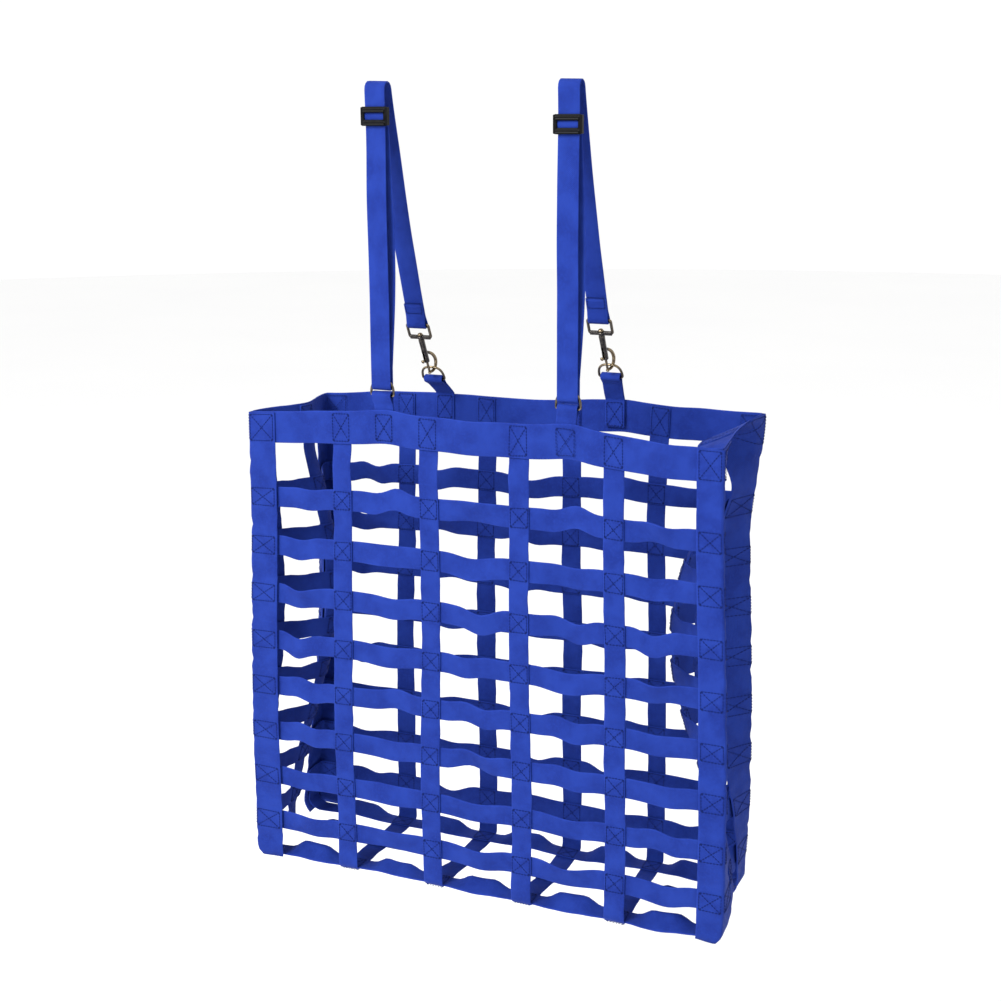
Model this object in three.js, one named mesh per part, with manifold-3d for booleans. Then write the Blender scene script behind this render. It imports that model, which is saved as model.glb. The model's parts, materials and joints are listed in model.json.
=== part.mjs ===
// Slow-feed hay bag: an open-topped box of sewn webbing that hangs from two strap hangers.
//
// Millimetres, +X to the bag's right, +Y to its back, +Z up. The origin is the hang point:
// midway between the two hangers, at the inside top of their loops. Each hanger's front leg
// is two layers of webbing from the loop down to the front D-ring, with a tri-glide adjuster
// on it; its rear leg ends in a swivel bolt snap that is clipped to the rear D-ring.

import * as THREE from 'three';
import { mergeVertices } from 'three/addons/utils/BufferGeometryUtils.js';
import Module from 'manifold-3d';

const wasm = await Module();
wasm.setup();

// ---------------------------------------------------------------- driving dimensions

const BAG_WIDTH = 610;
const BAG_DEPTH = 175;
const BAG_HEIGHT = 585;
const HANG_HEIGHT = 386;      // rim top below the hang point
const WEB = 25;               // width of the webbing
const THICK = 1.8;            // thickness of the webbing
const GAP = 0.35;             // clearance between two sewn layers
const RIM_WIDTH = 38;
const CORNER_WEB = 75;        // the corner straps, folded lengthwise round the corners
const COLUMN = 116.5;         // spacing of the upright straps
const ROW_COUNT = 8;
const FIRST_ROW = 105;        // centre of the first row below the rim top
const ROW_PITCH = 61;
const FOLD_RIM = 20;          // how far the side panels fold in at the rim
const FOLD_MIDDLE = 62;       // and half way down

const RIM_TOP = -HANG_HEIGHT;
const BOTTOM = RIM_TOP - BAG_HEIGHT;
const LAYER = THICK + GAP;

// The middle plane of a D-ring and its sewn tab is y = 0 on the front panel. From there out:
// rows and strap tops, then rim and upright straps, then corner straps.
const PANEL_ROW = -THICK / 2 - 0.2;
const FRONT_OUTER = PANEL_ROW - 2 * LAYER - THICK / 2;
const MID_DEPTH = FRONT_OUTER + BAG_DEPTH / 2;

const RING_WIRE = 1.5;        // radius of the D-ring's wire
const RING_HALF_WIDTH = 14.7;
const RING_HEIGHT = 18;
const TAB_INNER = 3.6;        // inner radius of the tab's loop round the D-ring's bar
const FRONT_BAR_HEIGHT = 31;  // D-ring bar above the rim top

// The rear tabs are pulled up and forwards by the snaps.
const REAR_TABS = {
  left: { height: 30, lean: 24 },
  right: { height: 46, lean: 22 },
};
const REAR_RING_LEAN = 28;    // degrees
const SNAP_LEAN = 27;         // degrees
const HOOK_TURN = 20;         // degrees from the plane square to the bag's front

const BLUE = { color: 0x2f4fb5, roughness: 0.85, metalness: 0 };
const BLACK_PLASTIC = { color: 0x17181b, roughness: 0.4, metalness: 0 };
const DARK_METAL = { color: 0x3d3a34, roughness: 0.35, metalness: 1 };

const hayBag = new THREE.Group();

// ---------------------------------------------------------------- helpers

const radians = THREE.MathUtils.degToRad;

function addMesh(parent, name, geometry, finish) {
  const mesh = new THREE.Mesh(geometry, new THREE.MeshStandardMaterial(finish));
  mesh.name = name;
  parent.add(mesh);
  return mesh;
}

function point(x, y) {
  return new THREE.Vector2(x, y);
}

// One edge of a strip that runs along `path`, set off sideways by `distance`.
function offsetPath(path, distance, closed) {
  const count = path.length;
  return path.map((here, i) => {
    const before = path[closed ? (i + count - 1) % count : Math.max(i - 1, 0)];
    const after = path[closed ? (i + 1) % count : Math.min(i + 1, count - 1)];
    const arriving = here.clone().sub(before).normalize();
    const leaving = after.clone().sub(here).normalize();
    if (here === before) arriving.copy(leaving);
    if (here === after) leaving.copy(arriving);
    const along = arriving.clone().add(leaving).normalize();
    const mitre = distance / along.dot(arriving);
    return point(here.x - along.y * mitre, here.y + along.x * mitre);
  });
}

// A webbing strip seen edge on: `points` is its middle line.
function stripShape(points, closed = false) {
  const path = points.filter((p, i) => i === 0 || p.distanceTo(points[i - 1]) > 0.01);
  const left = offsetPath(path, THICK / 2, closed);
  const right = offsetPath(path, -THICK / 2, closed);
  if (!closed) return new THREE.Shape([...left, ...right.reverse()]);
  const shape = new THREE.Shape(right);
  shape.holes.push(new THREE.Path(left));
  return shape;
}

function extrude(shape, depth, curveSegments = 12) {
  const geometry = new THREE.ExtrudeGeometry(shape, { depth, bevelEnabled: false, curveSegments });
  return geometry.translate(0, 0, -depth / 2);
}

// Turn a shape's plane so that it stands in the bag's YZ plane or XZ plane.
function toSidePlane(geometry) {
  const basis = new THREE.Matrix4().makeBasis(
    new THREE.Vector3(0, 1, 0),
    new THREE.Vector3(0, 0, 1),
    new THREE.Vector3(1, 0, 0),
  );
  return geometry.applyMatrix4(basis);
}

function toFrontPlane(geometry) {
  return geometry.rotateX(Math.PI / 2);
}

function toManifold(geometry) {
  const bare = geometry.clone();
  bare.deleteAttribute('normal');
  bare.deleteAttribute('uv');
  const merged = mergeVertices(bare, 1e-4);
  const mesh = new wasm.Mesh({
    numProp: 3,
    vertProperties: new Float32Array(merged.attributes.position.array),
    triVerts: new Uint32Array(merged.index.array),
  });
  return new wasm.Manifold(mesh);
}

function fromManifold(solid) {
  const mesh = solid.getMesh();
  const geometry = new THREE.BufferGeometry();
  geometry.setAttribute('position', new THREE.BufferAttribute(mesh.vertProperties, 3));
  geometry.setIndex(new THREE.BufferAttribute(mesh.triVerts, 1));
  geometry.computeVertexNormals();
  return geometry;
}

function join(...geometries) {
  const solids = geometries.map(toManifold);
  return fromManifold(solids.reduce((whole, next) => whole.add(next)));
}

function cut(geometry, ...tools) {
  const solids = tools.map(toManifold);
  return fromManifold(solids.reduce((whole, tool) => whole.subtract(tool), toManifold(geometry)));
}

// A round bar along an open curve.
function roundBar(curve, radius, steps, sides = 8) {
  const section = new THREE.Shape();
  section.absarc(0, 0, radius, 0, 2 * Math.PI);
  return new THREE.ExtrudeGeometry(section, {
    extrudePath: curve,
    steps,
    curveSegments: sides,
    bevelEnabled: false,
  });
}

function uprightCylinder(radius, low, high, sides = 16) {
  const cylinder = new THREE.CylinderGeometry(radius, radius, high - low, sides);
  return cylinder.rotateX(Math.PI / 2).translate(0, 0, (low + high) / 2);
}

// ---------------------------------------------------------------- the bag

// The side panels fold inwards like a paper bag's, most at half height.
function foldAt(z) {
  const down = (RIM_TOP - z) / BAG_HEIGHT;
  const belly = Math.sin(Math.PI * down) ** 2;
  const rimShare = FOLD_RIM * (1 - down);
  return rimShare + (FOLD_MIDDLE - FOLD_RIM / 2) * belly;
}

// Plan of a band that goes right round the bag, `inset` inside the corner straps' outer face.
function bandPlan(inset, fold) {
  const side = BAG_WIDTH / 2 - inset;
  const front = FRONT_OUTER + inset;
  const back = FRONT_OUTER + BAG_DEPTH - inset;
  const corner = 3;
  const flat = WEB / 2 + 3;
  const quarter = [
    point(side - corner, front),
    point(side, front + corner),
    point(side - fold, MID_DEPTH - flat),
    point(side - fold, MID_DEPTH + flat),
    point(side, back - corner),
    point(side - corner, back),
  ];
  const otherSide = quarter.map((p) => point(-p.x, p.y)).reverse();
  return [...quarter, ...otherSide];
}

function addBand(name, inset, centre, width) {
  const shape = stripShape(bandPlan(inset, foldAt(centre)), true);
  const geometry = extrude(shape, width);
  addMesh(hayBag, name, geometry, BLUE).position.z = centre;
}

const ROW_INSET = 2 * LAYER + THICK / 2;
const UPRIGHT_INSET = LAYER + THICK / 2;
const SEWN_TOP = RIM_TOP - 2; // straps sewn inside the rim end just below its top edge

addBand('rim_band', UPRIGHT_INSET, RIM_TOP - RIM_WIDTH / 2, RIM_WIDTH);

const rowCentres = [];
for (let row = 0; row < ROW_COUNT; row += 1) {
  rowCentres.push(RIM_TOP - FIRST_ROW - row * ROW_PITCH);
  addBand(`row_band_${row + 1}`, ROW_INSET, rowCentres[row], WEB);
}

// An upright strap that goes down the front, under the bottom and up the back. Its ends are
// sewn inside the rim, and it passes outside the rows.
function addUprightStrap(name, x) {
  const turn = 6;
  const front = FRONT_OUTER + UPRIGHT_INSET;
  const inside = FRONT_OUTER + ROW_INSET;
  const floor = BOTTOM + THICK / 2;
  const comesOut = RIM_TOP - RIM_WIDTH - 8;
  const isOut = comesOut - 16;
  const path = new THREE.Path();
  path.moveTo(inside, SEWN_TOP);
  path.lineTo(inside, comesOut);
  path.lineTo(front, isOut);
  path.lineTo(front, floor + turn);
  path.absarc(front + turn, floor + turn, turn, Math.PI, 1.5 * Math.PI);
  const half = path.getPoints(6);
  const mirrored = half.map((p) => point(2 * MID_DEPTH - p.x, p.y)).reverse();
  const geometry = toSidePlane(extrude(stripShape([...half, ...mirrored]), WEB));
  addMesh(hayBag, name, geometry, BLUE).position.x = x;
}

const UPRIGHTS = [-1.5, -0.5, 0.5, 1.5];
UPRIGHTS.forEach((column, i) => addUprightStrap(`upright_strap_${i + 1}`, column * COLUMN));

// The one strap that goes down the middle of both folded sides and across the bottom.
function addSideStrap() {
  const side = BAG_WIDTH / 2;
  const floor = BOTTOM + THICK / 2 + LAYER;
  const turn = 12;
  const insideRim = side - ROW_INSET - foldAt(RIM_TOP - RIM_WIDTH / 2);
  const half = [
    point(insideRim, SEWN_TOP),
    point(insideRim, RIM_TOP - RIM_WIDTH - 6),
  ];
  const flat = WEB / 2 + 1;
  for (const centre of rowCentres) {
    const x = side - UPRIGHT_INSET - foldAt(centre);
    half.push(point(x, centre + flat), point(x, centre - flat));
  }
  const foot = side - UPRIGHT_INSET;
  const arc = new THREE.Path();
  arc.absarc(foot - turn, floor + turn, turn, 0, -Math.PI / 2, true);
  half.push(...arc.getPoints(6));
  const otherHalf = half.map((p) => point(-p.x, p.y)).reverse();
  const geometry = toFrontPlane(extrude(stripShape([...half, ...otherHalf]), WEB));
  addMesh(hayBag, 'side_strap', geometry, BLUE).position.y = MID_DEPTH;
}

addSideStrap();

// Two more straps cross the bottom close to its front and back edges, with turned-up ends.
function addBottomStrap(name, y) {
  const turn = 10;
  const foot = BAG_WIDTH / 2 - UPRIGHT_INSET;
  const floor = BOTTOM + THICK / 2 + LAYER;
  const path = new THREE.Path();
  path.moveTo(foot, floor + WEB);
  path.absarc(foot - turn, floor + turn, turn, 0, -Math.PI / 2, true);
  const half = path.getPoints(6);
  const otherHalf = half.map((p) => point(-p.x, p.y)).reverse();
  const geometry = toFrontPlane(extrude(stripShape([...half, ...otherHalf]), WEB));
  addMesh(hayBag, name, geometry, BLUE).position.y = y;
}

const BOTTOM_STRAP_OFFSET = 65;
addBottomStrap('bottom_strap_front', MID_DEPTH - BOTTOM_STRAP_OFFSET);
addBottomStrap('bottom_strap_rear', MID_DEPTH + BOTTOM_STRAP_OFFSET);

// A wide strap folded round each corner, over the ends of the rim and rows.
function addCornerStrap(name, sideSign, depthSign) {
  const onPanel = CORNER_WEB / 2;
  const onSide = CORNER_WEB / 2;
  const bend = 2;
  const hem = 3;
  const x = BAG_WIDTH / 2 - THICK / 2;
  const y = BAG_DEPTH / 2 - THICK / 2;
  const path = [
    point(x - onPanel, y),
    point(x - bend, y),
    point(x, y - bend),
    point(x, y - onSide),
  ].map((p) => point(p.x * sideSign, p.y * depthSign));
  const shape = stripShape(path);
  const mesh = addMesh(hayBag, name, extrude(shape, BAG_HEIGHT - 2 * hem), BLUE);
  mesh.position.set(0, MID_DEPTH, (RIM_TOP + BOTTOM) / 2);
}

addCornerStrap('corner_strap_front_left', -1, -1);
addCornerStrap('corner_strap_front_right', 1, -1);
addCornerStrap('corner_strap_rear_left', -1, 1);
addCornerStrap('corner_strap_rear_right', 1, 1);

// ---------------------------------------------------------------- tabs and D-rings

const FRONT_BAR = point(0, RIM_TOP + FRONT_BAR_HEIGHT);
const REAR_TAB_PLANE = 2 * MID_DEPTH;

function rearBar(side) {
  const { height, lean } = REAR_TABS[side];
  return point(REAR_TAB_PLANE - lean, RIM_TOP + height);
}

// A loop of webbing sewn inside the rim, holding the D-ring's straight bar. The sewn part lies
// on the panel, and the loop leans from the rim's edge towards the bar.
function addTab(name, x, plane, bar) {
  const radius = TAB_INNER + THICK / 2;
  const layer = THICK / 2 + 0.2;
  const sewnEnd = RIM_TOP - RIM_WIDTH + 4;
  const edge = point(plane, RIM_TOP + 1);
  const up = bar.clone().sub(edge).normalize();
  const across = point(up.y, -up.x);
  const throat = 5;
  const neck = bar.clone().addScaledVector(up, -radius - throat);
  const front = Math.atan2(-across.y, -across.x);
  const overlap = 0.15;
  const path = new THREE.Path();
  path.moveTo(plane - layer, sewnEnd);
  path.lineTo(edge.x - layer, edge.y);
  path.lineTo(neck.x - across.x * layer, neck.y - across.y * layer);
  path.absarc(bar.x, bar.y, radius, front + overlap, front - Math.PI - overlap, true);
  path.lineTo(neck.x + across.x * layer, neck.y + across.y * layer);
  path.lineTo(edge.x + layer, edge.y);
  path.lineTo(plane + layer, sewnEnd);
  const geometry = toSidePlane(extrude(stripShape(path.getPoints(12)), WEB));
  addMesh(hayBag, name, geometry, BLUE).position.x = x;
}

// The D: a straight bar below and an arch above. Its origin is the arch's top, where a strap
// or a hook carries it.
function dRingGeometry() {
  const arch = [];
  const steps = 28;
  const squareness = 0.7;     // 1 is a half ellipse, and less is squarer
  for (let i = 0; i <= steps; i += 1) {
    const angle = (Math.PI * i) / steps;
    const x = Math.sign(Math.cos(angle)) * Math.abs(Math.cos(angle)) ** squareness;
    const z = Math.sin(angle) ** squareness;
    arch.push(new THREE.Vector3(RING_HALF_WIDTH * x, 0, RING_HEIGHT * (z - 1)));
  }
  const barLength = 2 * (RING_HALF_WIDTH + 0.8 * RING_WIRE);
  const bar = new THREE.CylinderGeometry(RING_WIRE, RING_WIRE, barLength, 12);
  bar.rotateZ(Math.PI / 2).translate(0, 0, -RING_HEIGHT);
  return join(roundBar(new THREE.CatmullRomCurve3(arch), RING_WIRE, 36, 5), bar);
}

function addDRing(name, x, bar, leanDegrees) {
  const lean = radians(leanDegrees);
  const ring = addMesh(hayBag, name, dRingGeometry(), DARK_METAL);
  ring.rotation.x = lean;
  const top = ringTop(bar, leanDegrees);
  ring.position.set(x, top.x, top.y);
}

function ringTop(bar, leanDegrees) {
  const lean = radians(leanDegrees);
  return point(bar.x - RING_HEIGHT * Math.sin(lean), bar.y + RING_HEIGHT * Math.cos(lean));
}

// ---------------------------------------------------------------- swivel bolt snap

const EYE_WIDTH = 32;
const EYE_HEIGHT = 22;
const EYE_BAR = 3.5;
const EYE_BASE = 4.5;
const EYE_DEPTH = 4;
const EYE_CHAMFER = 2.5;
const STEM = 1.6;             // radius of the rivet's stem, on which the body swivels
const BORE = 1.9;
const BORE_TOP = -24;
const TUBE_END = -55;
const BOLT_TOP = -49;
const BOLT_TIP = -68.9;
const BOLT_RADIUS = 1.5;
const BOLT_TRAVEL = 12;
const KNOB_HEIGHT = -51;
const STALK = 1.1;            // radius of the knob's stalk
const HOOK_REACH = 14;
const HOOK_FLOOR = -71.5;
const HOOK_WIRE = 1.8;
const HOOK_MIDDLE = 6.5;

const EYE_TOP = EYE_BAR / 2;
const EYE_FOOT = EYE_TOP - EYE_HEIGHT;

// The snap hangs from the middle of its eye's top bar, at its own z = 0.
function snapEyeGeometry() {
  const half = EYE_WIDTH / 2;
  const frame = new THREE.Shape([
    point(-half, EYE_TOP),
    point(-half, EYE_FOOT + EYE_CHAMFER),
    point(-half + EYE_CHAMFER, EYE_FOOT),
    point(half - EYE_CHAMFER, EYE_FOOT),
    point(half, EYE_FOOT + EYE_CHAMFER),
    point(half, EYE_TOP),
  ]);
  const window = new THREE.Path([
    point(-half + EYE_BAR, EYE_TOP - EYE_BAR),
    point(half - EYE_BAR, EYE_TOP - EYE_BAR),
    point(half - EYE_BAR, EYE_FOOT + EYE_BASE),
    point(-half + EYE_BAR, EYE_FOOT + EYE_BASE),
  ]);
  frame.holes.push(window);
  const bossRadius = 4.2;
  const boss = uprightCylinder(bossRadius, EYE_FOOT, EYE_FOOT + EYE_BASE);
  const eye = join(toFrontPlane(extrude(frame, EYE_DEPTH)), boss);
  return cut(eye, uprightCylinder(STEM + GAP, EYE_FOOT - 1, EYE_FOOT + EYE_BASE + 1));
}

// Rivet head and stem through the eye, the bolt's tube, and the open hook beside it.
function snapBodyGeometry() {
  const seat = EYE_FOOT + EYE_BASE + GAP;
  const collar = EYE_FOOT - GAP;
  const headRadius = 3.2;
  const headHeight = 3;
  const tubeRadius = 3.6;
  const shoulder = 0.6;
  const profile = [
    point(0, seat + headHeight),
    point(0.6 * headRadius, seat + 0.8 * headHeight),
    point(headRadius, seat + 0.25 * headHeight),
    point(headRadius, seat),
    point(STEM, seat),
    point(STEM, collar),
    point(tubeRadius - shoulder, collar),
    point(tubeRadius, collar - 2 * shoulder),
    point(tubeRadius, TUBE_END + shoulder),
    point(tubeRadius - shoulder, TUBE_END),
    point(0, TUBE_END),
  ].reverse();
  const turned = new THREE.LatheGeometry(profile, 20).rotateX(Math.PI / 2);
  const hookLine = [
    [BORE, TUBE_END + 11],
    [0.55 * HOOK_REACH, TUBE_END + 8],
    [0.87 * HOOK_REACH, TUBE_END + 2.5],
    [HOOK_REACH, TUBE_END - 4.5],
    [0.87 * HOOK_REACH, HOOK_FLOOR + 4.5],
    [HOOK_MIDDLE, HOOK_FLOOR],
    [HOOK_WIRE, HOOK_FLOOR],
    [0, BOLT_TIP],
  ].map(([x, z]) => new THREE.Vector3(x, 0, z));
  const hook = roundBar(new THREE.CatmullRomCurve3(hookLine), HOOK_WIRE, 26, 5);
  const slotMargin = STALK + 0.6;
  const slotLow = KNOB_HEIGHT - slotMargin;
  const slotHigh = KNOB_HEIGHT + BOLT_TRAVEL + slotMargin;
  const slotReach = tubeRadius + 3;
  const slot = new THREE.BoxGeometry(slotReach, 2 * slotMargin, slotHigh - slotLow);
  slot.translate(-BORE / 2 - slotReach / 2, 0, (slotLow + slotHigh) / 2);
  const boltPath = uprightCylinder(BORE + 0.5, BOLT_TIP - GAP, TUBE_END + 0.01);
  const bore = uprightCylinder(BORE, TUBE_END - 1, BORE_TOP);
  return cut(join(turned, hook), bore, boltPath, slot);
}

// The sliding bolt closes the hook; its thumb knob stands out through the tube's slot.
function snapBoltGeometry() {
  const stalkLength = 5.4;
  const stalk = new THREE.CylinderGeometry(STALK, STALK, stalkLength, 10);
  stalk.rotateZ(Math.PI / 2).translate(-STALK / 2 - stalkLength / 2, 0, KNOB_HEIGHT);
  const knobThickness = 2;
  const knob = new THREE.CylinderGeometry(2.4, 2, knobThickness, 14);
  knob.rotateZ(Math.PI / 2).translate(-STALK / 2 - stalkLength - 0.4, 0, KNOB_HEIGHT);
  return join(uprightCylinder(BOLT_RADIUS, BOLT_TIP, BOLT_TOP, 14), stalk, knob);
}

function snapSpringGeometry() {
  const turns = 8;
  const coil = 1.2;
  const wire = 0.3;
  const clearance = 0.7;
  const low = BOLT_TOP + clearance;
  const high = BORE_TOP - clearance;
  class Helix extends THREE.Curve {
    getPoint(t, target = new THREE.Vector3()) {
      const angle = 2 * Math.PI * turns * t;
      return target.set(coil * Math.cos(angle), coil * Math.sin(angle), low + (high - low) * t);
    }
  }
  return roundBar(new Helix(), wire, turns * 10, 3);
}

function addSnap(side, x) {
  const top = snapTop(side);
  const snap = new THREE.Group();
  snap.position.set(x, top.x, top.y);
  snap.rotation.x = radians(SNAP_LEAN);
  hayBag.add(snap);
  addMesh(snap, `snap_eye_${side}`, snapEyeGeometry(), DARK_METAL);
  const turned = new THREE.Group();
  turned.rotation.z = radians(90 - HOOK_TURN);
  snap.add(turned);
  addMesh(turned, `snap_body_${side}`, snapBodyGeometry(), DARK_METAL);
  addMesh(turned, `snap_bolt_${side}`, snapBoltGeometry(), DARK_METAL);
  addMesh(turned, `snap_spring_${side}`, snapSpringGeometry(), DARK_METAL);
}

// Where the snap's eye must be for its hook to carry the rear D-ring's arch.
function snapTop(side) {
  const arch = ringTop(rearBar(side), REAR_RING_LEAN);
  const across = HOOK_MIDDLE * Math.cos(radians(HOOK_TURN));
  const down = HOOK_FLOOR + HOOK_WIRE + 3 * GAP + RING_WIRE;
  const lean = radians(SNAP_LEAN);
  return point(
    arch.x - across * Math.cos(lean) + down * Math.sin(lean),
    arch.y - across * Math.sin(lean) - down * Math.cos(lean),
  );
}

// ---------------------------------------------------------------- hangers

const LEG = RING_WIRE + 2 * GAP + THICK / 2;     // half the distance between the front layers
const FOLD_HEIGHT = FRONT_BAR.y + RING_HEIGHT - 7.7;
const LAP_BOTTOM = FOLD_HEIGHT + 26;
const GLIDE_HEIGHT = { left: -37, right: -46 };
const HANG_RADIUS = 9;
const END_LOOP = 3.9;         // radius of the end loop's middle line round the eye's bar
const END_LAP = 24;           // length of the sewn-back end
const END_SPREAD = 1.4;       // half the distance between the two layers there

// One length of webbing: round the front D-ring, up, over the hang point, down the rear leg
// and round the bar of the snap's eye, where its end is sewn back on itself.
function addHangerStrap(side, x) {
  const eye = snapTop(side);
  const bow = radians(5);
  const lean = Math.atan2(eye.x - 2 * HANG_RADIUS, -eye.y) + bow;
  const legDirection = point(Math.sin(lean), -Math.cos(lean));
  const across = point(Math.cos(lean), Math.sin(lean));
  const along = (distance, sideways) =>
    point(eye.x, eye.y).addScaledVector(legDirection, -distance).addScaledVector(across, sideways);

  const path = new THREE.Path();
  path.moveTo(LEG, LAP_BOTTOM);
  path.absarc(0, FOLD_HEIGHT, LEG, 0, -Math.PI, true);
  path.absarc(HANG_RADIUS - LEG, THICK / 2 - HANG_RADIUS, HANG_RADIUS, Math.PI, radians(15), true);
  const neck = along(END_LOOP + 8, END_SPREAD);
  const control = along(150, END_SPREAD);
  path.quadraticCurveTo(control.x, control.y, neck.x, neck.y);
  const angle = Math.atan2(across.y, across.x);
  path.absarc(eye.x, eye.y, END_LOOP, angle, angle - Math.PI, true);
  const points = path.getPoints(12);
  const endLayer = LAYER - THICK - END_SPREAD;
  points.push(along(END_LOOP + 8, endLayer), along(END_LOOP + END_LAP, endLayer));
  const geometry = toSidePlane(extrude(stripShape(points), WEB));
  addMesh(hayBag, `hanger_strap_${side}`, geometry, BLUE).position.x = x;
}

// The end of that webbing that runs back up behind the front leg to the tri-glide's middle bar.
function addHangerLap(side, x) {
  const aboveBar = 3;
  const top = GLIDE_HEIGHT[side] + aboveBar;
  const path = [point(LEG, LAP_BOTTOM + GAP), point(LEG, top)];
  const geometry = toSidePlane(extrude(stripShape(path), WEB));
  addMesh(hayBag, `hanger_lap_${side}`, geometry, BLUE).position.x = x;
}

// The end bars cross in front of the strap and the middle bar behind it.
function addTriGlide(side, x) {
  const width = 33;
  const height = 23;
  const rail = 3.6;
  const endBar = 7;
  const middleHeight = 4;
  const frontThickness = 3;
  const middleThickness = 2;
  const frontFace = -LEG - THICK / 2 - GAP - frontThickness;
  const middleBar = -LEG + THICK / 2 + GAP + middleThickness / 2;
  const depth = middleBar + 1 - frontFace;
  const barLength = width - 2;
  const rails = [-1, 1].map((sign) => {
    const box = new THREE.BoxGeometry(rail, depth, height);
    return box.translate((sign * (width - rail)) / 2, frontFace + depth / 2, 0);
  });
  const endBars = [-1, 1].map((sign) => {
    const box = new THREE.BoxGeometry(barLength, frontThickness, endBar);
    return box.translate(0, frontFace + frontThickness / 2, (sign * (height - endBar)) / 2);
  });
  const middle = new THREE.BoxGeometry(barLength, middleThickness, middleHeight);
  middle.translate(0, middleBar, 0);
  const geometry = join(...rails, ...endBars, middle);
  const mesh = addMesh(hayBag, `tri_glide_${side}`, geometry, BLACK_PLASTIC);
  mesh.position.set(x, 0, GLIDE_HEIGHT[side]);
}

for (const [side, x] of [['left', -COLUMN], ['right', COLUMN]]) {
  addHangerStrap(side, x);
  addHangerLap(side, x);
  addTriGlide(side, x);
  addTab(`front_tab_${side}`, x, 0, FRONT_BAR);
  addTab(`rear_tab_${side}`, x, REAR_TAB_PLANE, rearBar(side));
  addDRing(`front_d_ring_${side}`, x, FRONT_BAR, 0);
  addDRing(`rear_d_ring_${side}`, x, rearBar(side), REAR_RING_LEAN);
  addSnap(side, x);
}

export default hayBag;
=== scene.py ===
"""Slow-feed hay bag of royal-blue webbing: its looks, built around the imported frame.

Metres, +X to the bag's right, +Y to its back, +Z up. Every strap is a ribbon of webbing with a
real thickness. The bag is built flat and square first. drape() then gives every point of it the
hang of the real bag: folded sides, raised rim under the hangers, and a slightly wider bottom.
"""

import json
import random
from math import atan2, copysign, cos, degrees, exp, hypot, pi, radians, sin, sqrt

import bpy
from mathutils import Matrix, Vector, noise


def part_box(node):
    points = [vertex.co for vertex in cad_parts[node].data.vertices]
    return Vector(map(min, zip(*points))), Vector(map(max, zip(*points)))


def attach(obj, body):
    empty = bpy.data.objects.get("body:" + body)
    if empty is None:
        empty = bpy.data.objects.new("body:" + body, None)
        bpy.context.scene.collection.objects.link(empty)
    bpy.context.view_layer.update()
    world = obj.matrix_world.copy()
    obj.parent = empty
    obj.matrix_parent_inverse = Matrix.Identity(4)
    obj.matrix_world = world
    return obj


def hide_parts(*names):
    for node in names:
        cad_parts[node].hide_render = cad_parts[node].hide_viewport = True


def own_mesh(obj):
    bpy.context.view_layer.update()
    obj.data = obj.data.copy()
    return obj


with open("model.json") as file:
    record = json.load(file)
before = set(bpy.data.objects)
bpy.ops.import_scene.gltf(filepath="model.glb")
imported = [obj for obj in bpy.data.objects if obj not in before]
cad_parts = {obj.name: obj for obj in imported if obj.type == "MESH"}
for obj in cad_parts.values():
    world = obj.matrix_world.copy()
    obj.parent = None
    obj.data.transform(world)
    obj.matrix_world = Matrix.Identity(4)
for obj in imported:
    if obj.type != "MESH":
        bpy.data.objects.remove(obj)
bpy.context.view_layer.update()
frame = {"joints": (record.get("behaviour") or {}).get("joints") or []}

# ---------- sizes

WEB = 0.025
THICK = 0.0018
LAYER = 0.00215         # from one sewn layer to the next
HAIR = 0.00012          # what the thread stands off the webbing
STEP = 0.006            # from one station of a strap to the next
RIM_LOW, RIM_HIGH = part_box("rim_band")
RIM_TOP = RIM_HIGH.z
RIM_WIDTH = RIM_HIGH.z - RIM_LOW.z
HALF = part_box("corner_strap_front_right")[1].x
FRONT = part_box("corner_strap_front_left")[0].y
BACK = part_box("corner_strap_rear_left")[1].y
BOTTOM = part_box("upright_strap_1")[0].z
DEPTH = BACK - FRONT
MIDDLE = (FRONT + BACK) / 2
HEIGHT = RIM_TOP - BOTTOM


def centre(node):
    low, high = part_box(node)
    return (low + high) / 2


UPRIGHTS = [centre(f"upright_strap_{i}").x for i in range(1, 5)]
ROWS = [centre(f"row_band_{i}").z for i in range(1, 9)]
HANGERS = {side: centre(f"hanger_strap_{side}").x for side in ("left", "right")}

CORNER_WEB = 0.075      # a corner strap's whole width, folded round its corner
ON_PANEL = {-1: 0.0375, 1: 0.0310}  # its share on the front or back, at the left and right
ON_SIDE = {sign: CORNER_WEB - share for sign, share in ON_PANEL.items()}
RIM_INSET = LAYER + THICK / 2
ROW_INSET = 2 * LAYER + THICK / 2

FOLD_RIM = {-1: 0.022, 1: 0.007}    # how far the left and right side panels fold in
FOLD_MIDDLE = {-1: 0.066, 1: 0.078}
PLEAT_POWER = {-1: 1.5, 1: 1.0}
RIM_FLOP = radians(62)      # the right side of the rim has tipped inwards this far
BOTTOM_TURN = radians(31)   # how far the bottom's straps turn up between the uprights
BOTTOM_BOW = 0.004          # how far the outer two are pulled towards the bottom's edges


def vec(*numbers):
    return Vector(numbers)


AXES = X_AXIS, Y_AXIS, UP = vec(1, 0, 0), vec(0, 1, 0), vec(0, 0, 1)


# ---------- how the bag hangs


def clamp(t):
    return min(max(t, 0.0), 1.0)


def smooth(t):
    t = clamp(t)
    return t * t * (3 - 2 * t)


def bell(x, middle, width):
    return exp(-(((x - middle) / width) ** 2))


def fold_depth(down, sign):
    """How far the middle of a side panel is folded in, at a share of the bag's height."""
    belly = sin(pi * down**0.85) ** 2
    return FOLD_RIM[sign] * (1 - down) + (FOLD_MIDDLE[sign] - FOLD_RIM[sign] / 2) * belly


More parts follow.
